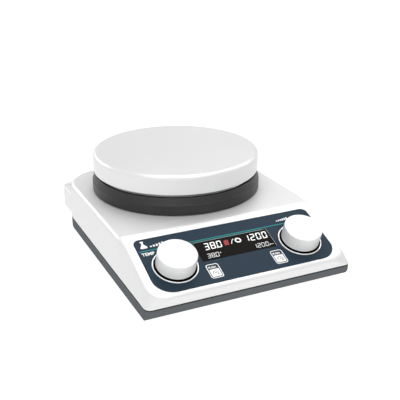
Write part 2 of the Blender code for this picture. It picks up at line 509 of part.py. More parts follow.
lathe("probe_socket", [(0, -9), (4.5, -9), (4.5, 0.35), (6.0, 0.35), (6.0, 1.8), (5.5, 2.3), (3.6, 2.3), (3.6, -6), (1.2, -6), (1.2, 0.5), (0, 0.5)],
      STEEL, rear_spot(PROBE_X), parent=rear, steps=18)
boolean(housing, cylinder_cut("probe_hole", 4.8, -10, 8, rear_spot(PROBE_X), parent=rear, steps=18))

# ---------------------------------------------------------------- rod insert
lathe("rod_insert", [(3.9, 15.0), (4.9, 15.0), (4.9, BOSS_TOP - 0.3), (4.4, BOSS_TOP - 0.3), (3.9, BOSS_TOP - 0.8)], STEEL, place(ROD_X, ROD_Y, 0), steps=20)
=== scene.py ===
"""Looks for the hotplate stirrer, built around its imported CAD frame. Metres, +Z up, front faces -Y."""

import math

import bmesh
import bpy
from mathutils import Matrix, Vector


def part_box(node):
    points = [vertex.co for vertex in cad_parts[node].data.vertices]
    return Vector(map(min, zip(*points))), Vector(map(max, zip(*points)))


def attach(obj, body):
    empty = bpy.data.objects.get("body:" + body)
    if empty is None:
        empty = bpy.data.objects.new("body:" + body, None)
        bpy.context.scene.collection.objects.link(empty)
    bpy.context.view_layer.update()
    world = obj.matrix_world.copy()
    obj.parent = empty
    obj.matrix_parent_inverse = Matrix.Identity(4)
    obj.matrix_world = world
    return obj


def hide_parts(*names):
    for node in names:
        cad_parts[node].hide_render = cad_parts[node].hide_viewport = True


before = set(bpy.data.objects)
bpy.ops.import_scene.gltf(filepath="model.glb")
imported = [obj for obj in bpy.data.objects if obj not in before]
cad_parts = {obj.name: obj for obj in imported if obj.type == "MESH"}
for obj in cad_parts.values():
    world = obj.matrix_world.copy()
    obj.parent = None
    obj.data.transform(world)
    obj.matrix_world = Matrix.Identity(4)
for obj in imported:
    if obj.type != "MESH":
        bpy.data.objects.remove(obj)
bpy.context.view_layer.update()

scene = bpy.context.scene
MM = 0.001

# ---------------------------------------------------------------- dimensions, in millimetres from the plate axis and the floor
plate_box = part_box("hotplate")
Y_PLATE = (plate_box[0].y + plate_box[1].y) / 2 / MM
PLATE_TOP = plate_box[1].z / MM
PLATE_LOW = plate_box[0].z / MM
PLATE_R = 67.5
FOOT_H, TRAY_H, SEAM = 3.0, 9.3, 0.8
Z_SEAM = FOOT_H + TRAY_H
Z_TOP = 41.4
WALL = 2.5
HALF_W, HALF_W_TOP = 81.0, 80.2
Y_NOSE, Y_FRONT_SEAM, Y_FRONT_BASE, Y_REAR = -138.4, -136.8, -131.5, 66.0
R_REAR, R_FRONT, R_SEAM = 35.0, 15.0, 5.0
SLOPE = math.radians(20.06)
PANEL_Y, PANEL_Z = -85.8, 39.38
KNOB_U, KNOB_V, KNOB_R, KNOB_H, KNOB_LIFT = 50.0, 30.0, 14.1, 12.0, 0.9
REAR_Z = 25.5
TANGENT = 1.9
ROD_X, ROD_Y = -68.5, 63.8
BOSS_X, BOSS_Y, BOSS_TOP = -79.0, 72.0, 30.0
SCREW_SPOTS = ((-71.0, -119.0), (71.0, -119.0), (-62.0, 44.0), (62.0, 44.0))
FOOT_SPOTS = ((-62.0, -100.0), (62.0, -100.0), (-56.0, 24.0), (56.0, 24.0))


def place(x, y, z):
    return Vector((x * MM, (y + Y_PLATE) * MM, z * MM))


PANEL = Matrix.Translation(place(0, PANEL_Y, PANEL_Z)) @ Matrix.Rotation(SLOPE, 4, "X")
REAR = Matrix.Translation(place(0, Y_REAR, REAR_Z)) @ Matrix.Rotation(math.radians(-90), 4, "X")
HERE = Matrix.Translation(place(0, 0, 0))


def at(matrix, x, y, z=0.0):
    return matrix @ Matrix.Translation((x * MM, y * MM, z * MM))


# ---------------------------------------------------------------- materials
def material(name, dark, light, rough=(0.4, 0.5), metallic=0.0, specular=0.5, mottle=60.0, grain=1800.0, bump=0.05,
             depth=0.00005, coat=0.0, coat_rough=0.1, stretch=(1.0, 1.0, 1.0), ior=1.5, transmission=0.0, detail=3.0):
    """A surface whose colour and gloss wander between two close values, with a fine moulded or milled grain."""
    mat = bpy.data.materials.new(name)
    mat.use_nodes = True
    tree = mat.node_tree
    shader = tree.nodes["Principled BSDF"]
    shader.inputs["Metallic"].default_value = metallic
    shader.inputs["Specular IOR Level"].default_value = specular
    shader.inputs["IOR"].default_value = ior
    shader.inputs["Coat Weight"].default_value = coat
    shader.inputs["Coat Roughness"].default_value = coat_rough
    shader.inputs["Transmission Weight"].default_value = transmission
    where = tree.nodes.new("ShaderNodeTexCoord")
    mapping = tree.nodes.new("ShaderNodeMapping")
    mapping.inputs["Scale"].default_value = stretch
    tree.links.new(where.outputs["Object"], mapping.inputs["Vector"])
    wander = tree.nodes.new("ShaderNodeTexNoise")
    wander.inputs["Scale"].default_value = mottle
    wander.inputs["Detail"].default_value = 4.0
    tree.links.new(mapping.outputs["Vector"], wander.inputs["Vector"])
    ramp = tree.nodes.new("ShaderNodeValToRGB")
    ramp.color_ramp.elements[0].position = 0.3
    ramp.color_ramp.elements[1].position = 0.7
    ramp.color_ramp.elements[0].color = (*dark, 1.0)
    ramp.color_ramp.elements[1].color = (*light, 1.0)
    tree.links.new(wander.outputs["Fac"], ramp.inputs["Fac"])
    tree.links.new(ramp.outputs["Color"], shader.inputs["Base Color"])
    gloss = tree.nodes.new("ShaderNodeMapRange")
    gloss.inputs["From Min"].default_value = 0.3
    gloss.inputs["From Max"].default_value = 0.7
    gloss.inputs["To Min"].default_value = rough[0]
    gloss.inputs["To Max"].default_value = rough[1]
    tree.links.new(wander.outputs["Fac"], gloss.inputs["Value"])
    tree.links.new(gloss.outputs["Result"], shader.inputs["Roughness"])
    if bump:
        fine = tree.nodes.new("ShaderNodeTexNoise")
        fine.inputs["Scale"].default_value = grain
        fine.inputs["Detail"].default_value = detail
        tree.links.new(mapping.outputs["Vector"], fine.inputs["Vector"])
        relief = tree.nodes.new("ShaderNodeBump")
        relief.inputs["Strength"].default_value = bump
        relief.inputs["Distance"].default_value = depth
        tree.links.new(fine.outputs["Fac"], relief.inputs["Height"])
        tree.links.new(relief.outputs["Normal"], shader.inputs["Normal"])
    return mat


def banded(mat, pitch, other, direction="X", share=0.5, rings=False):
    """Adds a regular stripe, such as wire turns or ribbon conductors, over the colour of a material."""
    tree = mat.node_tree
    shader = tree.nodes["Principled BSDF"]
    base = shader.inputs["Base Color"].links[0].from_socket
    mapping = next(n for n in tree.nodes if n.type == "MAPPING")
    wave = tree.nodes.new("ShaderNodeTexWave")
    wave.wave_type = "RINGS" if rings else "BANDS"
    if rings:
        wave.rings_direction = direction
    else:
        wave.bands_direction = direction
    wave.inputs["Scale"].default_value = 0.314 / pitch
    tree.links.new(mapping.outputs["Vector"], wave.inputs["Vector"])
    mix = tree.nodes.new("ShaderNodeMix")
    mix.data_type = "RGBA"
    mix.inputs["B"].default_value = (*other, 1.0)
    step = tree.nodes.new("ShaderNodeMapRange")
    step.inputs["From Min"].default_value = share - 0.1
    step.inputs["From Max"].default_value = share + 0.1
    tree.links.new(wave.outputs["Fac"], step.inputs["Value"])
    tree.links.new(step.outputs["Result"], mix.inputs["Factor"])
    tree.links.new(base, mix.inputs["A"])
    tree.links.new(mix.outputs["Result"], shader.inputs["Base Color"])
    return mat


def grey(value, tint=(1.0, 1.0, 1.0)):
    return tuple(value * t for t in tint)


SHELL = material("shell_white", grey(0.725), grey(0.74), (0.36, 0.40), specular=0.6, mottle=22, grain=2600, bump=0.04, depth=0.00002)
TRAY = material("tray_slate", (0.098, 0.106, 0.115), (0.107, 0.116, 0.125), (0.5, 0.58), specular=0.02, mottle=70, grain=1500, bump=0.12,
                depth=0.00004)
CERAMIC = material("ceramic_white", grey(0.74), grey(0.75), (0.30, 0.32), specular=0.5, mottle=18, grain=3200, bump=0.015, depth=0.00001)
RING = material("ring_charcoal", grey(0.026), grey(0.031), (0.42, 0.5), specular=0.25, mottle=90, grain=1400, bump=0.1, depth=0.00004)
FILM = material("film_slate_blue", (0.0250, 0.0440, 0.0665), (0.0285, 0.0480, 0.0710), (0.5, 0.6), specular=0.02, mottle=45, grain=2400,
                bump=0.12, depth=0.00003)
PANE = material("pane_smoked", (0.0045, 0.0030, 0.0030), (0.0062, 0.0042, 0.0042), (0.34, 0.40), specular=0.01, mottle=60, grain=3000, bump=0.02,
                depth=0.00002)
KNOB = material("knob_white", grey(0.72), grey(0.735), (0.36, 0.40), specular=0.6, mottle=30, grain=2800, bump=0.03, depth=0.00002)
LIP = material("lip_silver", grey(0.90), grey(0.94), (0.24, 0.28), metallic=0.1, specular=0.7, mottle=60, grain=2500, bump=0.0)
SEAT = material("seat_black", grey(0.003), grey(0.005), (0.6, 0.7), specular=0.02, mottle=200, grain=2500, bump=0.1)
BLACK = material("moulded_black", grey(0.016), grey(0.022), (0.42, 0.52), mottle=150, grain=1800, bump=0.18)
RUBBER = material("foot_rubber", grey(0.022), grey(0.032), (0.75, 0.85), specular=0.3, mottle=180, grain=1200, bump=0.3)
STEEL = material("turned_steel", grey(0.52), grey(0.6), (0.28, 0.38), metallic=1.0, mottle=300, grain=900, bump=0.1, stretch=(1, 1, 12))
NICKEL = material("nickel_plate", (0.62, 0.59, 0.54), (0.7, 0.67, 0.62), (0.18, 0.26), metallic=1.0, mottle=160, grain=1500, bump=0.04)
BRASS = material("brass", (0.66, 0.47, 0.19), (0.76, 0.56, 0.26), (0.24, 0.34), metallic=1.0, mottle=260, grain=1600, bump=0.06)
ALUMINIUM = material("spun_aluminium", grey(0.66), grey(0.74), (0.3, 0.42), metallic=1.0, mottle=260, grain=700, bump=0.12, stretch=(1, 1, 10))
BOARD = banded(material("solder_mask", (0.012, 0.09, 0.035), (0.02, 0.125, 0.05), (0.35, 0.45), mottle=140, grain=900, bump=0.15), 0.0024,
               (0.03, 0.17, 0.075), "DIAGONAL", 0.72)
MICA = material("pressed_mineral", (0.48, 0.43, 0.34), (0.66, 0.61, 0.5), (0.75, 0.9), mottle=240, grain=700, bump=0.4, depth=0.0001)
WINDING = banded(material("varnished_wire", (0.42, 0.19, 0.07), (0.58, 0.28, 0.11), (0.25, 0.35), metallic=0.8, mottle=200, grain=800, bump=0.1),
                 0.0007, (0.16, 0.06, 0.02), "Z", 0.6)
RELAY = material("relay_blue", (0.02, 0.06, 0.26), (0.03, 0.085, 0.33), (0.25, 0.35), mottle=100, grain=1500, bump=0.05)
CABLE = banded(material("ribbon_grey", grey(0.34), grey(0.4), (0.5, 0.6), mottle=120, grain=900, bump=0.08), 0.00127, grey(0.22), "X", 0.7)
CORE = banded(material("motor_can", grey(0.6), grey(0.7), (0.3, 0.4), metallic=1.0, mottle=200, grain=900, bump=0.08), 0.0014, grey(0.4), "Z", 0.75)
GLASS = material("fuse_glass", (0.86, 0.9, 0.9), (0.92, 0.95, 0.95), (0.03, 0.06), mottle=100, bump=0.0, transmission=0.9)
TEAL = material("print_teal", (0.028, 0.27, 0.265), (0.036, 0.30, 0.295), (0.5, 0.6), specular=0.02, mottle=300, grain=2400, bump=0.08)
PRINT = material("print_white", grey(0.9), grey(0.95), (0.5, 0.6), specular=0.3, mottle=60, grain=2400, bump=0.02)
PRINT_GREY = material("print_grey", grey(0.30), grey(0.36), (0.5, 0.6), specular=0.2, mottle=300, grain=2400, bump=0.08)


def glowing(name, colour, strength, dim):
    mat = material(name, tuple(c * dim for c in colour), colour, (0.5, 0.6), specular=0.1, mottle=400, bump=0.0)
    shader = mat.node_tree.nodes["Principled BSDF"]
    shader.inputs["Emission Color"].default_value = (*colour, 1.0)
    shader.inputs["Emission Strength"].default_value = strength
    return mat


LIT = glowing("digit_lit", (0.92, 0.93, 0.92), 0.35, 0.94)
LIT_SMALL = glowing("digit_soft", (0.80, 0.81, 0.80), 0.25, 0.94)
LIT_RED = glowing("heat_red", (0.42, 0.035, 0.045), 0.25, 0.8)


# ---------------------------------------------------------------- mesh helpers
def finish_piece(name, bm, mats, body, replaces=(), matrix=None, sharp=32.0, weighted=False):
    bmesh.ops.recalc_face_normals(bm, faces=bm.faces[:])
    if matrix is not None:
        bm.transform(matrix)
    mesh = bpy.data.meshes.new(name)
    bm.to_mesh(mesh)
    bm.free()
    obj = bpy.data.objects.new(name, mesh)
    scene.collection.objects.link(obj)
    for mat in mats if isinstance(mats, (list, tuple)) else [mats]:
        if mat is not None:
            mesh.materials.append(mat)
    mesh.shade_smooth()
    mesh.set_sharp_from_angle(angle=math.radians(sharp))
    if body:
        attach(obj, body)
    if replaces:
        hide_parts(*replaces)
    if weighted:
        weigh(obj)
    return obj


def weigh(obj):
    mod = obj.modifiers.new("normals", "WEIGHTED_NORMAL")
    mod.keep_sharp = True
    mod.weight = 60


def carve(obj, steps, sharp=32.0):
    """Applies a list of (other object, operation) to obj, then deletes the others."""
    for n, (other, operation) in enumerate(steps):
        mod = obj.modifiers.new(f"cut_{n}", "BOOLEAN")
        mod.operation = operation
        mod.solver = "EXACT"
        mod.object = other
    graph = bpy.context.evaluated_depsgraph_get()
    made = bpy.data.meshes.new_from_object(obj.evaluated_get(graph), preserve_all_data_layers=True, depsgraph=graph)
    obj.modifiers.clear()
    old = obj.data
    obj.data = made
    bpy.data.meshes.remove(old)
    made.name = obj.name
    bm = bmesh.new()
    bm.from_mesh(made)
    bmesh.ops.remove_doubles(bm, verts=bm.verts, dist=2e-7)
    bmesh.ops.dissolve_degenerate(bm, edges=bm.edges, dist=2e-7)
    bm.to_mesh(made)
    bm.free()
    made.shade_smooth()
    made.set_sharp_from_angle(angle=math.radians(sharp))
    for other, _ in steps:
        bpy.data.objects.remove(other, do_unlink=True)
    weigh(obj)


def soften(points, steps=5):
    """A closed outline of (x, y, radius) with each corner turned into an arc of that radius."""
    out = []
    n = len(points)
    for i, (x, y, radius) in enumerate(points):
        p = Vector((x, y))
        to_a, to_b = Vector(points[i - 1][:2]) - p, Vector(points[(i + 1) % n][:2]) - p
        if radius <= 0 or to_a.length < 1e-6 or to_b.length < 1e-6:
            out.append((x, y))
            continue
        a, b = to_a.normalized(), to_b.normalized()
        angle = a.angle(b)
        if angle > math.pi - 0.02:
            out.append((x, y))
            continue
        cut = min(radius / math.tan(angle / 2), 0.49 * to_a.length, 0.49 * to_b.length)
        radius = cut * math.tan(angle / 2)
        centre = p + (a + b).normalized() * (radius / math.sin(angle / 2))
        start, end = p + a * cut - centre, p + b * cut - centre
        a0 = math.atan2(start.y, start.x)
        turn = (math.atan2(end.y, end.x) - a0 + math.pi) % (2 * math.pi) - math.pi
        for k in range(steps + 1):
            t = a0 + turn * k / steps
            out.append((centre.x + radius * math.cos(t), centre.y + radius * math.sin(t)))
    return out


def lathe_bm(profile, steps=128, split=None):
    """Turns a closed (radius, height) profile round Z; faces further out than split get the second material."""
    bm = bmesh.new()
    rows = []
    for radius, height in profile:
        if radius < 1e-6:
            rows.append([bm.verts.new((0, 0, height * MM))])
        else:
            rows.append([bm.verts.new((radius * MM * math.cos(2 * math.pi * i / steps), radius * MM * math.sin(2 * math.pi * i / steps),
                                       height * MM)) for i in range(steps)])
    for k, (low, high) in enumerate(zip(rows, rows[1:] + rows[:1])):
        made = []
        if len(low) == 1 and len(high) == 1:
            continue
        if len(low) == 1 or len(high) == 1:
            tip, edge = (low[0], high) if len(low) == 1 else (high[0], low)
            for i in range(steps):
                made.append(bm.faces.new((tip, edge[i], edge[(i + 1) % steps])))
        else:
            for i in range(steps):
                j = (i + 1) % steps
                made.append(bm.faces.new((low[i], low[j], high[j], high[i])))
        if split is not None:
            middle = (profile[k][0] + profile[(k + 1) % len(profile)][0]) / 2
            for face in made:
                face.material_index = 1 if middle > split else 0
    for lone in [v for v in bm.verts if not v.link_faces]:
        bm.verts.remove(lone)
    return bm


def lathe(name, points, mats, body, replaces=(), matrix=HERE, steps=128, sharp=32.0, arc=5, split=None):
    return finish_piece(name, lathe_bm(soften(points, arc), steps, split), mats, body, replaces, matrix, sharp, True)


def rounded_rect(half_w, y0, y1, r_low, r_high, steps=10):
    points = []
    for cx, cy, r, start in ((half_w - r_low, y0 + r_low, r_low, -90), (half_w - r_high, y1 - r_high, r_high, 0),
                             (-half_w + r_high, y1 - r_high, r_high, 90), (-half_w + r_low, y0 + r_low, r_low, 180)):
        for i in range(steps + 1):
            a = math.radians(start + 90 * i / steps)
            points.append((cx + r * math.cos(a), cy + r * math.sin(a)))
    return points


def inset(points, d):
    """The outline moved inwards by d, for an anticlockwise outline."""
    if abs(d) < 1e-9:
        return list(points)
    out = []
    n = len(points)
    for i in range(n):
        p = Vector(points[i])
        a, b = (p - Vector(points[i - 1])), (Vector(points[(i + 1) % n]) - p)
        na, nb = Vector((-a.y, a.x)).normalized(), Vector((-b.y, b.x)).normalized()
        m = (na + nb)
        if m.length < 1e-6:
            out.append(tuple(p))
            continue
        m.normalize()
        out.append(tuple(p + m * (d / max(0.3, m.dot(na)))))
    return out


def prism_bm(points, z0, z1, r0=0.0, r1=0.0, steps=4, bm=None):
    """A prism on an anticlockwise outline whose bottom and top edges are rounded by r0 and r1."""
    bm = bm or bmesh.new()
    levels = []
    if r0 > 0:
        for k in range(steps + 1):
            a = math.pi / 2 * k / steps
            levels.append((r0 * (1 - math.sin(a)), z0 + r0 * (1 - math.cos(a))))
    else:
        levels.append((0.0, z0))
    if r1 > 0:
        for k in range(steps + 1):
            a = math.pi / 2 * k / steps
            levels.append((r1 * (1 - math.cos(a)), z1 - r1 * (1 - math.sin(a))))
    else:
        levels.append((0.0, z1))
    rows = [[bm.verts.new((x * MM, y * MM, z * MM)) for x, y in inset(points, d)] for d, z in levels]
    n = len(points)
    for low, high in zip(rows, rows[1:]):
        for i in range(n):
            j = (i + 1) % n
            bm.faces.new((low[i], low[j], high[j], high[i]))
    bm.faces.new(rows[0][::-1])
    bm.faces.new(rows[-1])
    return bm


def band_bm(outer, inner, z0, z1, bm=None):
    """A flat ring between two outlines that have the same number of points."""
    bm = bm or bmesh.new()
    rows = [[bm.verts.new((x * MM, y * MM, z * MM)) for x, y in pts] for pts, z in ((outer, z0), (outer, z1), (inner, z1), (inner, z0))]
    n = len(outer)
    for low, high in zip(rows, rows[1:] + rows[:1]):
        for i in range(n):
            j = (i + 1) % n
            bm.faces.new((low[i], low[j], high[j], high[i]))
    return bm


def cutter(name, bm, matrix):
    return finish_piece(name, bm, [], None, matrix=matrix)


def cut_round(name, radius, low, high, matrix, steps=64):
    return cutter(name, lathe_bm([(0, low), (radius, low), (radius, high), (0, high)], steps), matrix)


def cut_prism(name, points, z0, z1, matrix):
    return cutter(name, prism_bm(points, z0, z1), matrix)


# ---------------------------------------------------------------- housing and tray
SIDE_ROWS = [-112.0, -106.0, -100.0, -95.0, -91.0] + [-88.0 + 0.75 * i for i in range(19)] + [-71.0, -60.0, -45.0, -25.0, 0.0, 18.0]


def top_height(y):
    y_break = PANEL_Y + (Z_TOP - PANEL_Z) / math.tan(SLOPE)
    if y >= y_break + TANGENT:
        return Z_TOP
    if y <= y_break - TANGENT:
        return PANEL_Z + (y - PANEL_Y) * math.tan(SLOPE)
    t = (y_break + TANGENT - y) / (2 * TANGENT)
    return Z_TOP - math.tan(SLOPE) * TANGENT * t * t


def plan(half_w, y_front, y_rear, r_front, r_rear, front_steps=16, rear_steps=30):
    points = []
    for i in range(front_steps + 1):
        a = math.radians(-90 + 90 * i / front_steps)
        points.append((half_w - r_front + r_front * math.cos(a), y_front + r_front + r_front * math.sin(a)))
    points += [(half_w, y) for y in SIDE_ROWS]
    for i in range(rear_steps + 1):
        a = math.radians(90 * i / rear_steps)
        points.append((half_w - r_rear + r_rear * math.cos(a), y_rear - r_rear + r_rear * math.sin(a)))
    return points


def ring(bm, points):
    right = [bm.verts.new(place(x, y, z)) for x, y, z in points]
    left = [bm.verts.new(place(-x, y, z)) for x, y, z in points]
    return right, left


def join_rings(bm, upper, lower):
    for side in (0, 1):
        a, b = upper[side], lower[side]
        for i in range(len(a) - 1):
            bm.faces.new((a[i], a[i + 1], b[i + 1], b[i]))
    for k in (0, -1):
        bm.faces.new((upper[0][k], upper[1][k], lower[1][k], lower[0][k]))


def cap_ring(bm, rows):
    right, left = rows
    for i in range(len(right) - 1):
        bm.faces.new((right[i], right[i + 1], left[i + 1], left[i]))


def flat(points, z):
    return [(x, y, z) for x, y in points]


def eased(t):
    t = min(1.0, max(0.0, t))
    return t * t * (3 - 2 * t)


def at_panel(y):
    """How far a point is from the flat top (0) towards the sloped panel (1)."""
    return eased((-78.0 - y) / 14.0)


def edge_round(y):
    """Radius of the top edge round: soft along the flat top, tighter beside the panel and at the nose."""
    return 3.4 - 1.5 * at_panel(y)


def drawn_in(outline):
    """The outline with its sides drawn in beside the panel."""
    return [(x - 2.0 * at_panel(y), y) for x, y in outline]


def housing_bm():
    bm = bmesh.new()
    outer = drawn_in(plan(HALF_W_TOP, Y_NOSE, Y_REAR - 0.8, R_FRONT, R_REAR))
    soft = drawn_in(plan(HALF_W_TOP - 3.4, Y_NOSE + 2.2, Y_REAR - 4.2, 17.5, R_REAR - 3.4))
    crisp = drawn_in(plan(HALF_W_TOP - 1.9, Y_NOSE + 1.8, Y_REAR - 2.7, 17.5, R_REAR - 1.9))
    rings = []
    count = 9
    for k in range(count + 1):
        a = math.pi / 2 * (1 - k / count)
        pts = []
        for (xo, yo), (xt, yt), (xf, yf) in zip(outer, soft, crisp):
            w = at_panel(yo)
            xi, yi = xt + (xf - xt) * w, yt + (yf - yt) * w
            t = 1 - math.cos(a)
            x, y = xo + (xi - xo) * t, yo + (yi - yo) * t
            pts.append((x, y, top_height(y) - edge_round(yo) * (1 - math.sin(a))))
        rings.append(ring(bm, pts))
    for k in range(5):                       # the wall ends in a small round above the seam
        a = math.pi / 2 * k / 4
        d, h = 0.55 * (1 - math.cos(a)), 0.55 * (1 - math.sin(a))
        pts = plan(HALF_W - d, Y_FRONT_SEAM + d, Y_REAR - d, R_SEAM - d, R_REAR - d)
        rings.append(ring(bm, flat(pts, Z_SEAM + h)))
    inner = plan(HALF_W - WALL, Y_FRONT_SEAM + WALL, Y_REAR - WALL, R_SEAM - 1.5, R_REAR - WALL)
    rings.append(ring(bm, flat(inner, Z_SEAM)))
    inner = drawn_in(plan(HALF_W_TOP - WALL - 1.2, Y_NOSE + WALL + 2.2, Y_REAR - 0.8 - WALL - 1.2, R_FRONT, R_REAR - WALL - 1.2))
    rings.append(ring(bm, [(x, y, top_height(y) - WALL * 1.08) for x, y in inner]))
    for a, b in zip(rings, rings[1:]):
        join_rings(bm, a, b)
    cap_ring(bm, rings[0])
    cap_ring(bm, rings[-1])
    return bm


def tray_bm():
    bm = bmesh.new()
    top = Z_SEAM - SEAM
    rings = []
    for k in range(5):                       # rounded bottom edge
        a = math.pi / 2 * k / 4
        d, h = 0.8 * (1 - math.sin(a)), 0.8 * (1 - math.cos(a))
        rings.append(ring(bm, flat(plan(HALF_W - d, Y_FRONT_SEAM + d, Y_REAR - d, R_SEAM - d, R_REAR - d), FOOT_H + h)))
    for k in range(4):
        a = math.pi / 2 * k / 3
        d, h = 0.35 * (1 - math.cos(a)), 0.35 * (1 - math.sin(a))
        rings.append(ring(bm, flat(plan(HALF_W - d, Y_FRONT_SEAM + d, Y_REAR - d, R_SEAM - d, R_REAR - d), top - h)))
    rings.append(ring(bm, flat(plan(HALF_W - WALL, Y_FRONT_SEAM + WALL, Y_REAR - WALL, R_SEAM - 1.5, R_REAR - WALL), top)))
    rings.append(ring(bm, flat(plan(HALF_W - WALL, Y_FRONT_BASE + WALL, Y_REAR - WALL, R_SEAM - 1.5, R_REAR - WALL), FOOT_H + WALL)))
    for a, b in zip(rings, rings[1:]):
        join_rings(bm, a, b)
    cap_ring(bm, rings[0])
    cap_ring(bm, rings[-1])
    return bm


def tray_front_cut():
    """The space in front of the tray's front, which is one plane that leans back towards the floor."""
    lean = (Y_FRONT_SEAM - Y_FRONT_BASE) / (Z_SEAM - SEAM - 0.3 - FOOT_H)
    bm = bmesh.new()
    low, high = Y_FRONT_BASE + lean * (-3.0 - FOOT_H), Y_FRONT_BASE + lean * (16.0 - FOOT_H)
    ends = [[bm.verts.new(place(x, y, z)) for y, z in ((-170, -3), (low, -3), (high, 16), (-170, 16))] for x in (-100, 100)]
    for i in range(4):
        bm.faces.new((ends[0][i], ends[0][(i + 1) % 4], ends[1][(i + 1) % 4], ends[1][i]))
    bm.faces.new(ends[0][::-1])
    bm.faces.new(ends[1])
    return bm


def boss_piece():
    points = []
    for cx, cy, r, start in ((BOSS_X + 8, BOSS_Y - 8, 8.0, 90), (BOSS_X + 3, 43.0, 3.0, 180), (-60.0, 43.0, 3.0, 270),
                             (-62.0, BOSS_Y - 5, 5.0, 0)):
        for i in range(13):
            a = math.radians(start + 90 * i / 12)
            points.append((cx + r * math.cos(a), cy + r * math.sin(a)))
    boss = cutter("boss", prism_bm(points, Z_SEAM, BOSS_TOP, 0.5, 1.1, 6), HERE)
    carve(boss, [
        (cut_round("boss_root", R_REAR - 1.3, 5, 60, at(HERE, -HALF_W_TOP + R_REAR, Y_REAR - R_REAR - 0.4), 96), "DIFFERENCE"),
        (cutter("boss_inner", prism_bm([(-79.2, -60), (0, -60), (0, 31), (-79.2, 31)], 5, 60), HERE), "DIFFERENCE"),
        (cutter("boss_side", prism_bm([(-46, -60), (0, -60), (0, 64.6), (-46, 64.6)], 5, 60), HERE), "DIFFERENCE"),
    ])
    boss.modifiers.clear()
    return boss


housing = finish_piece("housing_shell", housing_bm(), SHELL, "base", ("upper_housing",))
window = rounded_rect(29.8, -9.5, 9.5, 0.9, 0.9, 4)
steps = [(boss_piece(), "UNION"),
         (cutter("rod_bore", lathe_bm(soften([(0, Z_SEAM + 2, 0), (5.2, Z_SEAM + 2, 0), (5.2, BOSS_TOP - 0.5, 0), (6.0, BOSS_TOP + 0.3, 0),
                                              (6.0, 60, 0), (0, 60, 0)]), 64), at(HERE, ROD_X, ROD_Y)), "DIFFERENCE"),
         (cutter("pocket", prism_bm(rounded_rect(71.3, -52.8, 0.3, 14.3, 4.8, 14), -1.0, 12), PANEL), "DIFFERENCE"),
         (cutter("window_opening", prism_bm(window, -6, 6), at(PANEL, 0, -22.4)), "DIFFERENCE"),
         (cut_round("shaft_opening", 12.0, 30, 60, HERE), "DIFFERENCE"),
         (cutter("inlet_hole", prism_bm(rounded_rect(13.9, -10.1, 10.1, 3, 1, 6), -10, 8), at(REAR, -27, 0)), "DIFFERENCE"),
         (cutter("switch_hole", prism_bm(rounded_rect(9.7, -6.7, 6.7, 0.6, 0.6, 4), -10, 8), at(REAR, 3, 0)), "DIFFERENCE"),
         (cut_round("fuse_hole", 6.3, -10, 8, at(REAR, 24, 0), 48), "DIFFERENCE"),
         (cut_round("probe_hole", 4.8, -10, 8, at(REAR, 38.5, 0), 48), "DIFFERENCE")]
for n, u in enumerate((-KNOB_U, KNOB_U)):
    steps.append((cut_round(f"shaft_hole_{n}", 4.9, -6, 6, at(PANEL, u, -KNOB_V), 48), "DIFFERENCE"))
carve(housing, steps)

tray = finish_piece("tray_shell", tray_bm(), TRAY, "base", ("base_tray",))
steps = [(cutter("tray_front_cut", tray_front_cut(), None), "DIFFERENCE")]
for n, (x, y) in enumerate(SCREW_SPOTS):
    pillar = cutter(f"pillar_{n}", lathe_bm([(0, 4), (5.0, 4), (5.0, Z_SEAM + 0.2), (0, Z_SEAM + 0.2)], 40), at(HERE, x, y))
    steps += [(pillar, "UNION"), (cut_round(f"pillar_bore_{n}", 1.7, 0, 20, at(HERE, x, y), 24), "DIFFERENCE"),
              (cut_round(f"counterbore_{n}", 3.3, 0, 8.5, at(HERE, x, y), 40), "DIFFERENCE")]
for n, (x, y) in enumerate(FOOT_SPOTS):
    steps.append((cut_round(f"foot_hole_{n}", 2.5, 0, 10, at(HERE, x, y), 32), "DIFFERENCE"))
for n, x in enumerate((-34.2, 34.2)):
    steps.append((cut_round(f"motor_hole_{n}", 1.8, 0, 20, at(HERE, x, 0), 32), "DIFFERENCE"))
for n, (x, y) in enumerate(((43.5, -56.5), (71.5, -56.5), (43.5, 16.5), (71.5, 16.5))):
    steps.append((cutter(f"board_rest_{n}", lathe_bm([(0, 4.5), (2.5, 4.5), (2.5, 9.2), (0, 9.2)], 32), at(HERE, x, y)), "UNION"))
carve(tray, steps)

# ---------------------------------------------------------------- heated plate and skirt
lathe("plate_body", [(0, PLATE_TOP, 0), (40, PLATE_TOP, 0), (PLATE_R, PLATE_TOP, 3.4), (PLATE_R, PLATE_LOW, 0.8), (52.0, PLATE_LOW, 0.5),
                     (52.0, PLATE_LOW + 8, 0.5), (0, PLATE_LOW + 8, 0)], CERAMIC, "base", ("hotplate",), steps=192, arc=10)
lathe("skirt_body", [(63.0, 41.7, 0.2), (68.6, 41.7, 0.7), (68.6, 49.7, 0.5), (68.3, 50.2, 0.5), (66.9, 55.4, 0.7), (64.0, 55.4, 0.6),
                     (63.0, 52.0, 1.0)], RING, "base", ("skirt_ring",), steps=192, arc=6)

# ---------------------------------------------------------------- knobs and their rings
for side, u in (("temp", -KNOB_U), ("speed", KNOB_U)):
    spot = at(PANEL, u, -KNOB_V)
    lathe(f"{side}_knob_body", [(0, KNOB_H, 0), (10, KNOB_H, 0), (KNOB_R, KNOB_H, 0.85), (KNOB_R, KNOB_LIFT, 0.4), (12.0, KNOB_LIFT, 0.3),
                                (12.0, 9.5, 0.5), (5.5, 9.5, 0.5), (5.5, 1.7, 0.3), (2.9, 1.7, 0.2), (2.9, 9.0, 0), (0, 9.0, 0)], KNOB,
          f"{side}_push", (f"{side}_knob",), spot, 128, arc=6)
    lathe(f"{side}_bezel", [(4.9, -0.7, 0), (16.2, -0.7, 0.1), (16.2, 0.4, 0.3), (15.55, 0.4, 0.25), (15.4, -0.35, 0.05), (4.9, -0.35, 0)],
          [SEAT, LIP], "base", (f"{side}_knob_ring",), spot, 128, arc=4, split=15.42)

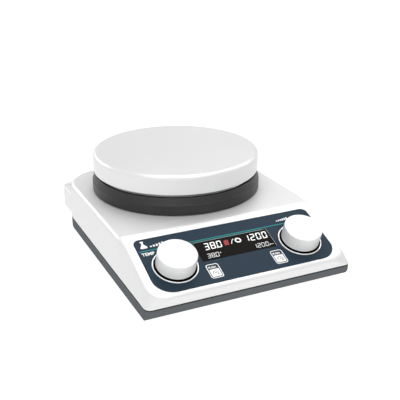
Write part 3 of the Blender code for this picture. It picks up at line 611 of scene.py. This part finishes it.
# ---------------------------------------------------------------- the printed film, the window and what they show
film = finish_piece("panel_film", prism_bm(rounded_rect(71, -52.5, 0, 14, 4.5, 14), -0.65, -0.05, 0, 0.1, 2), FILM, "base",
                    ("panel_overlay",), PANEL)
carve(film, [(cutter("film_window", prism_bm(window, -6, 6), at(PANEL, 0, -22.4)), "DIFFERENCE"),
             (cut_round("film_hole_0", 16.5, -6, 6, at(PANEL, -KNOB_U, -KNOB_V), 96), "DIFFERENCE"),
             (cut_round("film_hole_1", 16.5, -6, 6, at(PANEL, KNOB_U, -KNOB_V), 96), "DIFFERENCE")])
finish_piece("display_pane", prism_bm(rounded_rect(29.5, -9.2, 9.2, 0.6, 0.6, 4), -1.9, -0.1, 0.2, 0.12, 3), PANE, "base",
             ("display_window",), at(PANEL, 0, -22.4), weighted=True)

PRINT_LOW, PRINT_TOP = -0.055, -0.015


def turned(points):
    """(u, v) points, v down the panel, as an anticlockwise outline in the panel's own x and y."""
    pts = [(u, -v) for u, v in points]
    area = sum(pts[i - 1][0] * pts[i][1] - pts[i][0] * pts[i - 1][1] for i in range(len(pts)))
    return pts if area > 0 else pts[::-1]


def decal(name, outlines, mat, low=PRINT_LOW, top=PRINT_TOP, bands=(), body="base", matrix=PANEL):
    bm = bmesh.new()
    for outline in outlines:
        prism_bm(turned(outline), low, top, bm=bm)
    for outer, inner in bands:
        band_bm(turned(outer), turned(inner), low, top, bm=bm)
    return finish_piece(name, bm, mat, body, (), matrix)


def rect(u0, u1, v0, v1):
    return [(u0, v0), (u1, v0), (u1, v1), (u0, v1)]


def soft_rect(u0, u1, v0, v1, r, steps=5):
    return soften([(u0, v0, r), (u1, v0, r), (u1, v1, r), (u0, v1, r)], steps)


def disc(cu, cv, ru, rv=None, count=32):
    rv = rv or ru
    return [(cu + ru * math.cos(2 * math.pi * i / count), cv + rv * math.sin(2 * math.pi * i / count)) for i in range(count)]


def stroke(path, width):
    """An outline round an open path, with square ends."""
    left, right = [], []
    for i, p in enumerate(path):
        a, b = Vector(path[max(i - 1, 0)]), Vector(path[min(i + 1, len(path) - 1)])
        d = (b - a).normalized() * (width / 2)
        left.append((p[0] - d.y, p[1] + d.x))
        right.append((p[0] + d.y, p[1] - d.x))
    return left + right[::-1]


def arc(cu, cv, r, a0, a1, count=14):
    return [(cu + r * math.cos(math.radians(a0 + (a1 - a0) * i / count)), cv + r * math.sin(math.radians(a0 + (a1 - a0) * i / count)))
            for i in range(count + 1)]


decal("teal_stripe", [rect(-69.9, 69.9, 10.95, 11.8)], TEAL)
decal("teal_stripe_short", [rect(-30.2, 27.0, 12.42, 12.82)], TEAL)
decal("window_frame_line", [rect(-29.6, 29.95, 13.02, 13.28), rect(29.75, 30.05, 13.28, 31.2)], PRINT_GREY)

SEGMENTS = {"0": "abcdef", "1": "bc", "2": "abged", "3": "abgcd", "8": "abcdefg"}


def digit(text, u, v, w, h, t, slant):
    """Seven-segment outlines of one figure whose top left corner is at (u, v)."""
    e = 0.035 * h
    m = h / 2
    parts = {
        "a": [(e, 0), (w - e, 0), (w - t, t), (t, t)],
        "d": [(t, h - t), (w - t, h - t), (w - e, h), (e, h)],
        "g": [(t * 0.6, m), (t, m - t / 2), (w - t, m - t / 2), (w - t * 0.6, m), (w - t, m + t / 2), (t, m + t / 2)],
        "f": [(0, e), (t, t + e), (t, m - t / 2 - e), (t * 0.45, m - e * 0.6), (0, m - e)],
        "e": [(0, m + e), (t * 0.45, m + e * 0.6), (t, m + t / 2 + e), (t, h - t - e), (0, h - e)],
        "b": [(w - t, t + e), (w, e), (w, m - e), (w - t * 0.45, m - e * 0.6), (w - t, m - t / 2 - e)],
        "c": [(w - t, m + t / 2 + e), (w - t * 0.45, m + e * 0.6), (w, m + e), (w, h - e), (w - t, h - t - e)],
    }
    return [[(u + x + slant * (h - y), v + y) for x, y in parts[s]] for s in SEGMENTS[text]]


def figures(text, u, v, w, h, t, pitch, slant=0.15):
    out = []
    for n, c in enumerate(text):
        out += digit(c, u + n * pitch, v, w, h, t, slant)
    return out


GLASS_LOW, GLASS_TOP = -0.105, -0.07
big = figures("380", -23.6, 15.3, 3.75, 6.6, 0.86, 4.95) + [disc(-14.1, 21.45, 0.42, count=12)]
decal("figures_set_temp", big, LIT, GLASS_LOW, GLASS_TOP)
decal("figures_set_speed", figures("1200", 8.6, 15.3, 3.75, 6.6, 0.86, 4.95), LIT, GLASS_LOW, GLASS_TOP)
small = figures("380", -24.9, 25.6, 2.5, 4.25, 0.44, 3.3) + [disc(-18.35, 29.55, 0.27, count=10)]
decal("figures_read_temp", small, LIT_SMALL, GLASS_LOW, GLASS_TOP,
      bands=[(disc(-13.9, 26.6, 0.55, count=16), disc(-13.9, 26.6, 0.27, count=16))])
decal("figures_read_speed", figures("1200", 12.1, 25.6, 2.5, 4.25, 0.44, 3.3), LIT_SMALL, GLASS_LOW, GLASS_TOP)
decal("unit_marks", [rect(25.2, 26.0, 28.6, 28.95), rect(26.3, 27.1, 28.6, 28.95), rect(27.4, 28.3, 28.6, 28.95),
                     stroke([(25.4, 29.7), (26.2, 27.9)], 0.28)], LIT_SMALL, GLASS_LOW, GLASS_TOP)
decal("stir_ring", [], LIT, GLASS_LOW, GLASS_TOP, bands=[(disc(4.0, 18.6, 2.5, 2.4), disc(4.0, 18.6, 1.5, 1.35))])
decal("divider_mark", [stroke([(1.2, 16.5), (0.2, 17.0), (-0.9, 18.4), (-2.2, 20.9)], 0.6)], LIT_SMALL, GLASS_LOW, GLASS_TOP)
heat = []
for n in range(3):
    base = -6.9 + 1.25 * n
    heat.append(stroke([(base + 0.6 - 0.12 * k + 0.28 * math.sin(k * 1.25), 16.2 + 0.6 * k) for k in range(9)], 0.85))
decal("heat_symbol", heat, LIT_RED, GLASS_LOW, GLASS_TOP)


def lettering(name, text, u, v, size, mat, squeeze=1.0, weight=0.0, slant=0.0, body="base", matrix=PANEL, low=PRINT_LOW, top=PRINT_TOP):
    """Plain raised print in the built-in sans face, its bottom left corner at (u, v)."""
    curve = bpy.data.curves.new(name, "FONT")
    curve.body = text
    curve.size = size * MM
    curve.offset = weight * MM
    curve.extrude = (top - low) / 2 * MM
    curve.resolution_u = 3
    helper = bpy.data.objects.new(name + "_curve", curve)
    scene.collection.objects.link(helper)
    graph = bpy.context.evaluated_depsgraph_get()
    mesh = bpy.data.meshes.new_from_object(helper.evaluated_get(graph), depsgraph=graph)
    bm = bmesh.new()
    bm.from_mesh(mesh)
    bmesh.ops.remove_doubles(bm, verts=bm.verts, dist=1e-7)
    bpy.data.objects.remove(helper, do_unlink=True)
    shear = Matrix(((squeeze, slant, 0, 0), (0, 1, 0, 0), (0, 0, 1, 0), (0, 0, 0, 1)))
    bm.transform(at(Matrix.Identity(4), u, -v, (low + top) / 2) @ shear)
    return finish_piece(name, bm, mat, body, (), matrix)


lettering("label_temp", "TEMP", -68.9, 15.9, 4.0, PRINT, 0.98, 0.10)

# a flask over a short level scale, in the upper left corner
flask = soften([(-66.2, 1.9, 0.2), (-63.6, 1.9, 0.2), (-63.6, 2.7, 0.1), (-64.1, 2.9, 0.1), (-64.1, 5.0, 0.4), (-61.5, 8.9, 0.9),
                (-68.3, 8.9, 0.9), (-65.7, 5.0, 0.4), (-65.7, 2.9, 0.1), (-66.2, 2.7, 0.1)], 4)
decal("flask_mark", [flask], PRINT)
decal("level_marks", [soft_rect(-60.4 + 2.3 * n, -58.9 + 2.3 * n, 7.4 - 0.45 * n, 8.6, 0.3) for n in range(5)], PRINT)
decal("speed_marks", [soft_rect(41.8 + 1.75 * n, 43.0 + 1.75 * n, 7.2 - 0.3 * n, 8.2, 0.25) for n in range(6)], PRINT)

for side, left, right in (("temp", -30.2, -20.6), ("speed", 21.0, 30.6)):
    outer = soft_rect(left, right, 35.4, 48.5, 1.9, 6)
    inner = soft_rect(left + 0.62, right - 0.62, 36.02, 47.88, 1.3, 6)
    decal(f"{side}_icon_frame", [], PRINT, bands=[(outer, inner)])
    decal(f"{side}_icon_tile", [soft_rect(left + 1.2, right - 1.2, 40.2, 47.2, 0.6)], PRINT)
    mid = (left + right) / 2
    lettering(f"{side}_icon_word", "PUSH", left + 1.35, 39.3, 2.45, PRINT, 1.0, 0.07)
    decal(f"{side}_icon_turn", [stroke(arc(mid, 43.9, 1.9, -200, 40), 0.55), [(mid + 2.3, 44.3), (mid + 1.75, 46.1), (mid + 0.5, 44.9)],
                                disc(mid, 43.9, 0.6, count=16)], PRINT_GREY, PRINT_TOP - 0.005, PRINT_TOP + 0.02)

# ---------------------------------------------------------------- rear fittings
spot = at(REAR, -27, 0)
inlet = finish_piece("inlet_body", prism_bm(rounded_rect(15.5, -12, 12, 2, 2, 8), 0.35, 2.6, 0, 0.6, 4), BLACK, "base",
                     ("mains_inlet",), spot)
mouth = bmesh.new()
rows = []
for z, d in ((-16.0, 0.0), (1.6, 0.0), (2.2, -0.35), (8.0, -1.2)):
    rows.append([mouth.verts.new((x * MM, y * MM, z * MM)) for x, y in inset(rounded_rect(12.0, -8.2, 8.2, 4.5, 1, 8), d)])
for low, high in zip(rows, rows[1:]):
    for i in range(len(low)):
        j = (i + 1) % len(low)
        mouth.faces.new((low[i], low[j], high[j], high[i]))
mouth.faces.new(rows[0][::-1])
mouth.faces.new(rows[-1])
steps = [(cutter("inlet_core", prism_bm(rounded_rect(13.6, -9.8, 9.8, 3, 1, 6), -20, 1.5), spot), "UNION"), (cutter("inlet_mouth", mouth, spot), "DIFFERENCE")]
for n, (x, y) in enumerate(((0, -4), (-7, 0), (7, 0))):
    steps.append((cutter(f"pin_slot_{n}", prism_bm(rounded_rect(1.3, -2.3, 2.3, 0.2, 0.2, 2), -30, -10), at(spot, x, y)), "DIFFERENCE"))
carve(inlet, steps)
for name, x, y in (("earth", 0, -4), ("line", -7, 0), ("neutral", 7, 0)):
    finish_piece(f"pin_{name}", prism_bm(rounded_rect(1.0, -2.0, 2.0, 0.3, 0.3, 4), -23, -3.5, 0, 0.7, 4), NICKEL, "base",
                 (f"inlet_pin_{name}",), at(spot, x, y), weighted=True)

spot = at(REAR, 3, 0)
switch = finish_piece("switch_frame", prism_bm(rounded_rect(10.5, -7.5, 7.5, 1, 1, 6), 0.35, 2.0, 0, 0.5, 4), BLACK, "base",
                      ("power_switch_body",), spot)
carve(switch, [(cutter("switch_core", prism_bm(rounded_rect(9.4, -6.4, 6.4, 0.4, 0.4, 3), -14, 1), spot), "UNION"),
               (cutter("switch_well", prism_bm(rounded_rect(8.3, -5.3, 5.3, 0.3, 0.3, 3), -6.5, 8), spot), "DIFFERENCE")])
rocker_side = soften([(-7.6, 2.6, 0.5), (-6.8, 3.2, 0.5), (0, 1.2, 6.0), (6.8, 1.9, 0.5), (7.6, 1.2, 0.4), (6.6, -3.6, 0.6), (3.0, -5.6, 1.0),
                      (-3.0, -5.6, 1.0), (-6.6, -3.6, 0.6)], 6)
side_view = Matrix(((1, 0, 0, 0), (0, 0, 1, 0), (0, 1, 0, 0), (0, 0, 0, 1)))
area = sum(rocker_side[i - 1][0] * rocker_side[i][1] - rocker_side[i][0] * rocker_side[i - 1][1] for i in range(len(rocker_side)))
rocker_side = rocker_side if area > 0 else rocker_side[::-1]
finish_piece("rocker_cap", prism_bm(rocker_side, -4.9, 4.9, 0.4, 0.4, 4), BLACK, "rocker", ("power_rocker",), spot @ side_view,
             weighted=True)

spot = at(REAR, 24, 0)
lathe("fuse_carrier", [(7.2, 0.35, 0), (7.2, 2.0, 0.5), (4.9, 2.0, 0.2), (4.9, -24, 0), (0, -24, 0), (0, -25.5, 0), (6.0, -25.5, 0.3),
                       (6.0, 0.35, 0)], BLACK, "base", ("fuse_holder",), spot, 64)
cap = finish_piece("fuse_cap_body", lathe_bm(soften([(0, -2.2, 0), (4.5, -2.2, 0.3), (4.5, 2.3, 0.1), (6.2, 2.3, 0.2), (6.2, 5.4, 0.6), (0, 5.4, 0)]), 72),
                   BLACK, "fuse_turn", ("fuse_cap",), spot)
steps = [(cutter("cap_slot", prism_bm(rounded_rect(3.6, -0.6, 0.6, 0.55, 0.55, 4), 4.2, 9), spot), "DIFFERENCE")]
carve(cap, steps)
lathe("fuse_caps", [(0, -22.6, 0), (2.6, -22.6, 0.3), (2.6, -17.4, 0.1), (2.3, -17.4, 0), (2.3, -18.4, 0), (0, -18.4, 0)], NICKEL,
      "fuse_slide", (), spot, 40)
lathe("fuse_caps_outer", [(0, -6.8, 0), (2.3, -6.8, 0), (2.3, -7.8, 0), (2.6, -7.8, 0.1), (2.6, -2.6, 0.3), (0, -2.6, 0)], NICKEL,
      "fuse_slide", (), spot, 40)
lathe("fuse_glass_tube", [(1.7, -18.3, 0), (2.28, -18.3, 0), (2.28, -6.9, 0), (1.7, -6.9, 0)], GLASS, "fuse_slide", ("fuse",), spot, 40)
lathe("fuse_wire", [(0, -18.3, 0), (0.16, -18.3, 0), (0.16, -6.9, 0), (0, -6.9, 0)], STEEL, "fuse_slide", (), spot, 12)

spot = at(REAR, 38.5, 0)
lathe("probe_ring", [(0, -9, 0), (4.5, -9, 0.3), (4.5, 0.35, 0), (6.0, 0.35, 0), (6.0, 2.3, 0.5), (3.6, 2.3, 0.3), (3.6, -6, 0.2), (1.2, -6, 0),
                     (1.2, 0.5, 0.5), (0, 0.5, 0)], STEEL, "base", ("probe_socket",), spot, 72)
lathe("rod_sleeve", [(3.9, 15, 0), (4.9, 15, 0), (4.9, BOSS_TOP - 0.3, 0.15), (3.9, BOSS_TOP - 0.3, 0.4)], STEEL, "base", ("rod_insert",),
      at(HERE, ROD_X, ROD_Y), 64)

# ---------------------------------------------------------------- feet and screws
for n, (x, y) in enumerate(FOOT_SPOTS, 1):
    lathe(f"foot_pad_{n}", [(0, 0.3, 0), (3.5, 0.3, 0.2), (4.0, 0, 0.2), (7.6, 0, 0.5), (8.0, FOOT_H - 0.3, 0.5), (2.2, FOOT_H - 0.3, 0.1), (2.2, 5.2, 0.3),
                            (0, 5.2, 0)], RUBBER, "base", (f"foot_{n}",), at(HERE, x, y), 64)
for n, (x, y) in enumerate(SCREW_SPOTS, 1):
    tall = top_height(y)
    screw = finish_piece(f"case_screw_{n}", lathe_bm(soften([(0, 5.9, 0), (2.9, 5.9, 0.7), (2.9, 8.2, 0.1), (1.4, 8.2, 0.1), (1.4, tall - 5.8, 0),
                                                             (0, tall - 5.2, 0)]), 48), STEEL, "base", (f"housing_screw_{n}",), at(HERE, x, y))
    carve(screw, [(cutter(f"recess_a_{n}", prism_bm(rounded_rect(1.5, -0.35, 0.35, 0.1, 0.1, 2), 0, 7.0), at(HERE, x, y)), "DIFFERENCE"),
                  (cutter(f"recess_b_{n}", prism_bm(rounded_rect(0.35, -1.5, 1.5, 0.1, 0.1, 2), 0, 7.0), at(HERE, x, y)), "DIFFERENCE")])

# ---------------------------------------------------------------- carried-over CAD nodes
FINISH = {"lcd_module": BLACK, "control_board": BOARD, "heating_element": STEEL, "insulation_disc": MICA, "heat_shield": ALUMINIUM,
          "plate_sensor": STEEL, "plate_post_1": STEEL, "plate_post_2": STEEL, "plate_post_3": STEEL, "motor_base": STEEL, "motor_can": CORE,
          "motor_shaft": STEEL, "magnet_carrier": BLACK, "magnet_left": NICKEL, "magnet_right": NICKEL, "motor_screw_1": STEEL,
          "motor_screw_2": STEEL, "power_board": BOARD, "transformer": WINDING, "heat_sink": ALUMINIUM, "capacitor": BLACK, "relay": RELAY,
          "panel_ribbon": CABLE, "temp_encoder_body": BLACK, "speed_encoder_body": BLACK, "temp_encoder_collar": BRASS,
          "speed_encoder_collar": BRASS, "temp_encoder_shaft": STEEL, "speed_encoder_shaft": STEEL}
for name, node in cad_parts.items():
    if not node.hide_render:
        node.data.materials.clear()
        node.data.materials.append(FINISH.get(name, BLACK))

# ---------------------------------------------------------------- floor, light and camera
def plane(name, size, centre, mat):
    bm = bmesh.new()
    bmesh.ops.create_grid(bm, x_segments=8, y_segments=8, size=size)
    mesh = bpy.data.meshes.new(name)
    bm.to_mesh(mesh)
    bm.free()
    obj = bpy.data.objects.new(name, mesh)
    obj.location = centre
    scene.collection.objects.link(obj)
    mesh.materials.append(mat)
    return obj


PAPER = material("floor_paper", grey(0.20), grey(0.22), (0.9, 0.95), specular=0.1, mottle=3, grain=300, bump=0.02)
paper = PAPER.node_tree.nodes["Principled BSDF"]
paper.inputs["Emission Color"].default_value = (1, 1, 1, 1)
paper.inputs["Emission Strength"].default_value = 0.95
plane("floor", 6.0, (0, 0, -0.0001), PAPER)

world = bpy.data.worlds.new("studio")
scene.world = world
world.use_nodes = True
world.node_tree.nodes["Background"].inputs["Color"].default_value = (1, 1, 1, 1)
world.node_tree.nodes["Background"].inputs["Strength"].default_value = 0.70


def softbox(name, location, aim, width, height, radiance, diffuse=True):
    data = bpy.data.lights.new(name, "AREA")
    data.shape = "RECTANGLE"
    data.size, data.size_y = width, height
    data.energy = radiance * math.pi * width * height
    obj = bpy.data.objects.new(name, data)
    obj.location = location
    obj.rotation_euler = (Vector(aim) - Vector(location)).to_track_quat("-Z", "Y").to_euler()
    scene.collection.objects.link(obj)
    obj.visible_diffuse = diffuse
    obj.visible_camera = False
    return obj


softbox("overhead", (0.15, 0.55, 1.4), (0, 0, 0.03), 0.7, 0.7, 3.3)
softbox("front_fill", (-0.75, -1.2, 0.45), (0, 0, 0.03), 1.3, 0.6, 2.2)
softbox("gloss_top", (-0.1, -0.35, 1.3), (0, 0, 0.05), 1.5, 1.1, 7.0, diffuse=False)
softbox("gloss_right", (1.15, 0.15, 0.75), (0, 0, 0.05), 0.8, 0.8, 4.0, diffuse=False)
softbox("gloss_back_left", (-0.5, 1.2, 0.66), (0, 0, 0.05), 0.8, 0.5, 8.0, diffuse=False)
softbox("gloss_panel", (0.46, 0.42, 1.0), (0, -0.08, 0.03), 0.85, 0.85, 8.0, diffuse=False)

camera_data = bpy.data.cameras.new("camera")
camera_data.sensor_width = 36.0
camera_data.lens = 66.285
camera_data.clip_start = 0.01
camera = bpy.data.objects.new("camera", camera_data)
camera.location = (-0.226324, -0.495661, 0.261765)
camera.rotation_euler = (math.radians(67.771), 0.0, math.radians(-25.167))
scene.collection.objects.link(camera)
scene.camera = camera

scene.view_settings.view_transform = "Standard"
scene.view_settings.look = "None"
scene.view_settings.exposure = 0.0
scene.view_settings.gamma = 1.0

bpy.context.view_layer.update()
